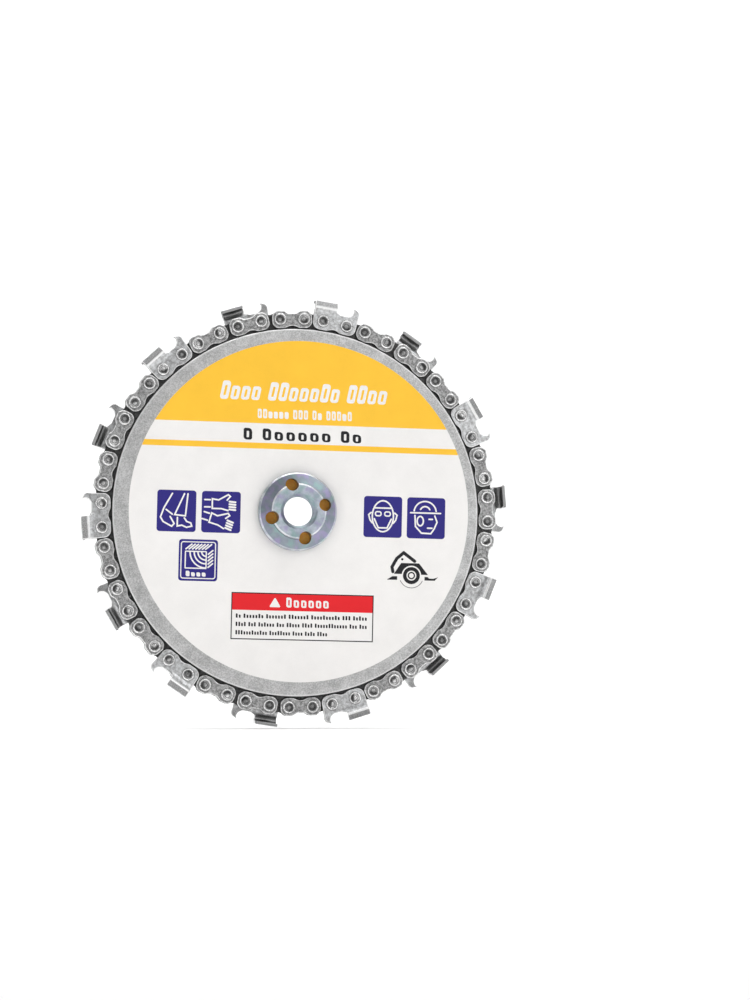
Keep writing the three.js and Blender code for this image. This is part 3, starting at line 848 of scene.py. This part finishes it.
def screw_shape():
    """A countersunk screw with a hexagon socket, head towards -z."""
    low, tip = -FACE, FACE - 0.25
    head_base = low + SCREW_HEAD_HEIGHT
    floor = low + SOCKET_DEPTH
    profile = [
        (SCREW_HEAD_RADIUS - 0.16, low), (SCREW_HEAD_RADIUS - 0.04, low + 0.04),
        (SCREW_HEAD_RADIUS, low + 0.14), (SCREW_RADIUS + 0.05, head_base), (SCREW_RADIUS, head_base + 0.2),
    ]
    z = head_base + 0.3
    while z < FACE - 0.6:  # thread ridges, hidden in the front plate
        profile += [(SCREW_RADIUS, z), (SCREW_RADIUS - 0.28, z + 0.22), (SCREW_RADIUS, z + 0.44)]
        z += 0.5
    profile.append((SCREW_RADIUS - 0.3, tip))
    points, faces, edge, rings = [], [], [], []

    def add_ring(outline, height, bright):
        rings.append(range(len(points), len(points) + len(outline)))
        points.extend((x, y, height) for x, y in outline)
        edge.extend([bright] * len(outline))

    for r, z in profile:
        add_ring(circle(r), z, 0.8 * (z < head_base and r > 3))
    hexagon = finer(circle(SOCKET_RADIUS, sides=6), lambda p: 0.5)
    socket = [(0.1, low, 0.5), (0.0, low + 0.1, 0.5), (0.0, floor - 0.05, 0.0), (-0.05, floor, 0.0)]
    for grow, z, bright in socket:
        scale = 1 + grow / SOCKET_RADIUS
        add_ring([(x * scale, y * scale) for x, y in hexagon], z, bright)
    outer, inner = rings[:len(profile)], rings[len(profile):]
    for a, b in zip(outer, outer[1:]):
        faces += quads(a, b)
    for a, b in zip(inner, inner[1:]):
        faces += quads(b, a)
    faces += [tuple(reversed(f)) for f in cap(points, [outer[0], inner[0]])]
    for ring, height in ((outer[-1], tip), (inner[-1][::-1], floor + 0.25)):
        faces += fan(ring, len(points))
        points.append((0, 0, height))
        edge.append(0.0)
    # the socket's inner walls are marked for painted shade
    wall = [math.hypot(x, y) < SOCKET_RADIUS + 0.05 and low + 0.05 < z < floor + 0.2 for x, y, z in points]
    return Shape().add(points, faces, edge=edge, wall=wall)


def build_screws():
    shape = screw_shape()
    rng = random.Random(3)
    for k, (x, y) in enumerate(circle(SCREW_CIRCLE, sides=SCREWS), 1):
        place = Matrix.Translation((x, y, 0)) @ Matrix.Rotation(rng.uniform(0, 6.28), 4, "Z")
        grain = (rng.uniform(-50, 50), rng.uniform(-50, 50), 0)
        node = f"plate_screw_{k}"
        piece(f"countersunk_screw_{k}", shape, SCREW, "disc", [node], place, grain, 30)


# ---- label
def stroke(points, width):
    """The outline of a line of even width with round ends."""
    p = [Vector(q) for q in points]
    left, right = [], []
    for i, q in enumerate(p):
        ahead = (p[i + 1] - q).normalized() if i < len(p) - 1 else None
        behind = (q - p[i - 1]).normalized() if i else None
        way = ahead if behind is None else behind if ahead is None else (ahead + behind).normalized()
        grow = 1.0 if ahead is None or behind is None else 1 / max((ahead + behind).length / 2, 0.5)
        side = Vector((-way.y, way.x)) * width / 2 * grow
        left.append(tuple(q + side))
        right.append(tuple(q - side))

    def end(at, way):
        a = math.atan2(way.y, way.x)
        return [polar(width / 2, a + t, at) for t in np.linspace(-math.pi / 2, math.pi / 2, 7)[1:-1]]

    return right + end(p[-1], p[-1] - p[-2]) + left[::-1] + end(p[0], p[0] - p[1])


def shifted(loops, x, y):
    return [[(a + x, b + y) for a, b in loop] for loop in loops]


def greeked(words, x0, x1, y0, height, rng, share=0.72, slant=0.0):
    """Blocks in the rhythm of words, one for each letter, so that the print has its look and says nothing."""
    gap = 0.6
    advance = (x1 - x0) / (sum(words) + gap * (len(words) - 1))
    loops, x = [], x0
    for n in words:
        for k in range(n):
            tall = height * (1.0 if k == 0 or rng.random() < 0.22 else 0.74)
            w = advance * share
            corners = [(0, 0, w * 0.4), (w, 0, w * 0.25), (w, tall, w * 0.45), (0, tall, w * 0.2)]
            letter = [rounded(corners, 0.3)]
            if tall > 2 and w > 0.9:
                letter.append(rectangle(w * 0.36, tall * 0.2, w * 0.64, tall * 0.75, w * 0.1)[::-1])
            loops.append([[(x + a + slant * b, y0 + b) for a, b in loop] for loop in letter])
            x += advance
        x += advance * gap
    return loops


def lines(*paths, width=PEN):
    return [[stroke(path, width)] for path in paths]


def oval(centre, rx, ry):
    outer = arc(centre, rx, 0, 360, 41, ry / rx)[:-1]
    return [outer, [tuple(p) for p in inset(outer, PEN)][::-1]]


def frame_line(x0, y0, x1, y1, radius=0.0, width=0.4):
    inner = rectangle(x0 + width, y0 + width, x1 - width, y1 - width, max(radius - width, 0.0))
    return [rectangle(x0, y0, x1, y1, radius), inner[::-1]]


def boots():
    """Two legs in work boots, walking."""
    return lines(
        [(-1.3, 5.0), (-3.6, 0.9), (-4.6, -1.9), (-3.8, -3.2), (-1.3, -4.5), (-0.6, -3.7), (-1.8, -1.7)],
        [(-3.0, 0.3), (-1.2, -1.0)],
        [(2.2, 5.0), (-0.5, -1.1), (2.6, -1.4), (3.2, 5.0)],
        [(0.3, -1.9), (0.3, -4.4), (1.6, -4.1), (3, -4.7), (4.5, -4.3), (4.2, -3.4), (3, -3), (2.3, -2)],
    )


def gloves():
    """Two gloved hands, one above the other."""
    hand = lines(
        [(1.6, 1.2), (2.5, 2.3), (1.9, 2.8), (-0.9, 1.2), (-2.7, 1.5), (-2.7, -1.3), (0, -1.3), (1.9, -1.8)],
        [(-4.9, 1.2), (-3.3, 1.2)], [(-4.9, -0.9), (-3.3, -0.9)],
    )
    hand += lines(*[[(2.3, y), (4.0, y - 0.15)] for y in (0.8, 0.05, -0.7, -1.45)], width=0.55)
    turn = Matrix.Rotation(math.radians(-16), 2)
    lower = [[[tuple(turn @ Vector(p)) for p in loop] for loop in loops] for loops in hand]
    return [shifted(loops, 0.1, 2.3) for loops in hand] + [shifted(loops, -0.5, -2.5) for loops in lower]


def visor():
    """A face behind goggles and a mask."""
    ear = [(-3.5, 1.2), (-4.2, 0.6), (-3.8, -0.9), (-3.1, -1.8)]
    return [
        oval((0, 0.2), 3.35, 4.75),
        frame_line(-2.4, 0.1, -0.35, 1.7, 0.7), frame_line(0.35, 0.1, 2.4, 1.7, 0.7),
        *lines(ear, [(-x, y) for x, y in ear], [(-2.4, 2.6), (2.4, 2.6)]),
        *lines([(-2.5, -0.6), (-1.3, -3.2), (1.3, -3.2), (2.5, -0.6)]),
    ]


def helmet():
    """A head in a hard hat and ear defenders."""
    return [
        *lines(arc((-0.3, 1.6), 3.3, 8, 172, 21), [(-4.6, 1.5), (4.3, 1.5)]),
        *lines(arc((-0.3, 1.9), 1.5, 25, 155, 9)),
        oval((-1.7, -0.9), 1.15, 1.6),
        *lines([(-3.3, 0.7), (-3.1, -2.5), (-1.3, -4.4), (1.5, -4.5), (2.4, -3.2), (3.3, -1.1), (2.6, 0.7)]),
        *lines([(0.9, -0.3), (1.9, -0.3)], [(0.5, -2.9), (1.8, -2.9)]),
    ]


def timber():
    """A squared log with its rings and grain, in a frame."""
    rings = [arc((2.2, 2.4), r, 180, 270, 13) for r in (1.2, 2.3, 3.4, 4.6)]
    top = [[(x, 3.2), (x + 1.7, 4.6)] for x in np.arange(-3.6, 2.4, 0.95)]
    side = [[(2.9, y), (4.2, y + 1.1)] for y in np.arange(-2.0, 2.6, 0.95)]
    return [
        frame_line(-5.1, -5.4, 5.1, 5.4, 0.8, 0.3), frame_line(-3.9, -2.5, 2.5, 2.7, 0.3, 0.35),
        *lines(*rings, *top, *side, width=0.42),
    ]


def saw():
    """A hand-held circular saw on a plank, in silhouette."""
    blade = [circle(2.5, sides=40), circle(1.45, sides=32, hole=True)]
    hub = [circle(1.1, sides=24), circle(0.7, sides=20, hole=True)]
    guard = [(4.9, 0.3), (2.2, 3.6), (-3.1, 3.6), (-5.2, 0.4), *arc((0, 0), 2.9, 172, 6, 21)]
    handle = stroke([(-5.5, 1.0), (-5.8, 2.4), (-4.4, 4.9), (-2.4, 6.6), (0.9, 4.2)], 0.95)
    left = [(-7.3, -1.35), (-4.2, -1.35), (-4.2, -0.3), (-5.6, -0.3)]
    right = [(3.9, -1.35), (6.9, -1.35), (7.9, -0.3), (6.6, -0.75), (5.3, -0.75), (4.8, -0.3), (3.9, -0.3)]
    return [
        blade, hub, [guard], [handle], [left], [right], [circle(0.35, (-2.8, 4.7), 16)],
        *lines(arc((0, 0), 3.6, 205, 335, 25), width=0.16),
    ]


def printed(name, shapes, material, layer, grain=(0, 0, 0)):
    """Ink on the label: each shape is a list of an outline and its holes, in label coordinates."""
    ink = Shape()
    for i, loops in enumerate(shapes):
        top = LABEL_HIGH + INK * layer + INK_OVERLAP * (i % 9)  # where shapes overlap, one is on top
        ink.join(slab(loops, [[(0.0, LABEL_HIGH - INK_UNDER), (0.0, top)]] * len(loops)))
    ink.marks.clear()
    place = LABEL_PLACE @ Matrix.Rotation(PRINT_TURN, 4, "Z")
    piece(name, ink, material, "disc", (), place, grain)


def build_label():
    low, high = LABEL_LOW, LABEL_HIGH
    hole = circle(LABEL_HOLE_RADIUS, [-v for v in LABEL_OFFSET], 120, True)
    edge = [(0.1, low), (0.0, low + 0.02), (0.0, high - 0.03), (0.03, high), (0.2, high)]
    sheet = slab([circle(LABEL_RADIUS, sides=224), hole], [edge] * 2)
    piece("label_film", sheet, WHITE, "disc", ["label"], LABEL_PLACE)

    first, upper, lower = (
        math.degrees(math.asin(y / PRINT_RADIUS)) for y in (SEGMENT_LOW, STRIPE_HIGH, STRIPE_LOW)
    )
    segment = arc((0, 0), PRINT_RADIUS, first, 180 - first, 120)
    right = arc((0, 0), PRINT_RADIUS, lower, upper, 6)
    left = arc((0, 0), PRINT_RADIUS, 180 - upper, 180 - lower, 6)
    printed("label_yellow_print", [[segment], [right + left]], YELLOW, 1)

    w, h = TILE_HALF
    tiles = [[rectangle(x - w, y - h, x + w, y + h, 0.9)] for x, y in TILES]
    printed("label_navy_print", tiles, NAVY, 1)

    rng = random.Random(11)
    white = []
    for (x, y), drawing in zip(TILES, (boots(), gloves(), visor(), helmet(), timber())):
        white += [shifted(loops, x, y) for loops in drawing]
    x, y = TILES[-1]
    white += greeked([4], x - 3.5, x + 2.7, y - 4.7, 1.6, rng)
    white += greeked([4, 7, 4], -24.3, 25.0, 31.9, 5.4, rng, 0.8, 0.2)
    white += greeked([6, 3, 2, 5], -13, 15, 26.7, 2.7, rng, 0.74)
    white.append([rounded([(-8.4, -28.1, 0.25), (-5.0, -28.1, 0.25), (-6.7, -25.2, 0.25)])])
    white += greeked([6], -3.4, 9.6, -28.1, 2.9, rng)
    printed("label_white_print", white, WHITE, 2, (20, 0, 0))

    x0, y0, x1, y1 = NOTICE
    header = rectangle(x0 + NOTICE_LINE, NOTICE_HEADER_LOW, x1 - NOTICE_LINE, y1 - NOTICE_LINE)
    printed("label_red_print", [[header]], RED, 1)

    black = [frame_line(*NOTICE, width=NOTICE_LINE)]
    black += greeked([1, 6, 2], -17, 18.5, 20.3, 3.4, rng)
    for y, right, words in NOTICE_ROWS:
        black += greeked(words, -18.0, right, y, 1.25, rng, 0.62)
    black += [shifted(loops, *SAW_AT) for loops in saw()]
    printed("label_black_print", black, BLACK, 1)


# ---- nut
def nut_shape(sides=112, steps=84):
    """The nut as a turned ring, with its thread as rows that climb one pitch a turn."""
    low, top, boss, lead = NUT_SEAT, NUT_TOP, NUT_BOSS_RADIUS, THREAD_CREST + THREAD_CHAMFER
    outside = rounded([
        (NUT_RADIUS - 5.7, low, 0), (NUT_RADIUS, low, 0.25), (NUT_RADIUS, low + 2.2, 0.15),
        (NUT_RADIUS - 0.45, low + 2.65, 0.25), (boss, low + 3.55, 0.25), (boss, top, 0.6),
        (lead + 0.4, top, 0.1), (lead, top - 0.6, 0), (lead, low + 0.6, 0), (lead + 0.25, low, 0.1),
    ], 0.12)
    thread = [i for i, (r, h) in enumerate(outside) if r < lead + 0.05 and low < h < top]
    bore_top, bore_bottom = top - THREAD_END, low + THREAD_END
    columns = []
    for k in range(sides):
        column = outside[:thread[0]]
        for j in range(steps + 1):
            h = bore_top + (bore_bottom - bore_top) * j / steps
            phase = (h / THREAD_PITCH - k / sides) % 1.0
            groove = min(max(abs(phase - 0.5) * 2 * 1.35 - 0.12, 0.0), 1.0)
            r = THREAD_CREST + (THREAD_ROOT - THREAD_CREST) * groove
            column.append((max(r, lead - min(h - bore_bottom, bore_top - h)), h))
        columns.append(column + outside[thread[-1] + 1:])
    return turned(columns)


def drilled(blank, tool):
    """The points and faces of one shape with another cut out of it."""
    body, holes = (
        in_scene(name, mesh_from(name, shape.points, shape.faces))
        for name, shape in (("nut blank", blank), ("pin holes", tool))
    )
    cut = body.modifiers.new("holes", "BOOLEAN")
    cut.operation, cut.object, cut.solver = "DIFFERENCE", holes, "EXACT"
    result = body.evaluated_get(bpy.context.evaluated_depsgraph_get())
    mesh = result.to_mesh()
    points, faces = [tuple(v.co) for v in mesh.vertices], [tuple(p.vertices) for p in mesh.polygons]
    result.to_mesh_clear()
    for obj in (body, holes):
        bpy.data.objects.remove(obj)
    return points, faces


def build_nut():
    pins = Shape()
    for k in range(PIN_HOLES):
        at = polar(PIN_CIRCLE, math.pi / 2 - math.radians(FIRST_PIN_DEG) - k * math.pi / 2)
        pins.join(slab([circle(PIN_HOLE_RADIUS, at, 44)], [[(0.0, NUT_SEAT - 1), (0.0, NUT_TOP + 1)]]))
    points, faces = drilled(nut_shape(), pins)
    edge, slope = [], []
    for x, y, z in points:
        r = math.hypot(x, y)
        # the boss's corner and the flange's outer rim get painted highlights
        corner = NUT_BOSS_RADIUS - 0.55 < r < NUT_BOSS_RADIUS + 0.1 and z > NUT_TOP - 0.5
        outer = r > NUT_RADIUS - 0.48 and z > NUT_SEAT + 2.1
        edge.append(0.9 if corner else 0.7 if outer else 0.0)
        # the sloping flange is marked for painted shade
        slope.append(r > NUT_BOSS_RADIUS - 0.01 and z < NUT_TOP - 0.7 and not outer)
    nut = Shape().add(points, faces, edge=edge, slope=slope)
    piece("nut_body", nut, ZINC, "nut", ["lock_nut"], smooth_deg=32)
    inner, outer, low, high = WASHER_HOLE_RADIUS, WASHER_RADIUS, WASHER_LOW, WASHER_HIGH
    ring = rounded([(inner, low, 0.12), (outer, low, 0.2), (outer, high, 0.2), (inner, high, 0.12)], 0.08)
    piece("washer_body", turned([ring] * 96), FIBRE, "washer", ["nut_washer"])


# ---- stage
def build_camera():
    data = bpy.data.cameras.new("camera")
    data.lens, data.sensor_width = LENS, SENSOR
    data.clip_start, data.clip_end = 0.01, 20
    camera = in_scene("camera", data)
    turn, rise = math.radians(CAMERA_TURN_DEG), math.radians(CAMERA_RISE_DEG)
    back = Vector((math.sin(turn) * math.cos(rise), -math.cos(turn) * math.cos(rise), math.sin(rise)))
    look = (-back).to_track_quat("-Z", "Y")
    aside = look @ Vector((1, 0, 0)) * VIEW_RIGHT + look @ Vector((0, 1, 0)) * VIEW_UP
    middle = Vector((0, -FACE * MM * 2, 0))
    camera.location = middle + back * (FRAME_HEIGHT * LENS / SENSOR) + aside
    camera.rotation_mode = "QUATERNION"
    camera.rotation_quaternion = look
    bpy.context.scene.camera = camera


def build_lights():
    for name, (at, aim, size, power) in LIGHTS.items():
        data = bpy.data.lights.new(name, "AREA")
        data.shape, data.size, data.size_y = "RECTANGLE", *size
        data.energy = power
        light = in_scene(name, data)
        light.location = at
        light.rotation_euler = (Vector(aim) - Vector(at)).to_track_quat("-Z", "Y").to_euler()
    world = bpy.data.worlds.new("studio")
    world.use_nodes = True
    sky = world.node_tree.nodes["Background"].inputs
    sky["Color"].default_value = grey(1)
    sky["Strength"].default_value = SKY_STRENGTH
    bpy.context.scene.world = world
    bpy.context.scene.view_settings.view_transform = "Standard"


def build_floor():
    """A pale floor that curves up into a wall behind the disc."""
    curve = arc((WALL_BACK - WALL_CURVE, WALL_CURVE), WALL_CURVE, -90, 0, 17)
    rows = [(FLOOR_FRONT, 0), (0, 0), *curve, (WALL_BACK, WALL_HEIGHT)]
    floor_z = cad_box[0].z - FLOOR_GAP
    points = [(x, y, floor_z + z) for y, z in rows for x in (-FLOOR_WIDTH, FLOOR_WIDTH)]
    faces = [(2 * i, 2 * i + 1, 2 * i + 3, 2 * i + 2) for i in range(len(rows) - 1)]
    mesh = mesh_from("floor", points, faces)
    mesh.materials.append(Nodes("pale floor", Specular_IOR_Level=0.2).finish(grey(0.93), 0.9))
    floor = in_scene("floor", mesh)


build_camera()
build_floor()
build_lights()
build_chain()
build_disc()
build_screws()
build_label()
build_nut()
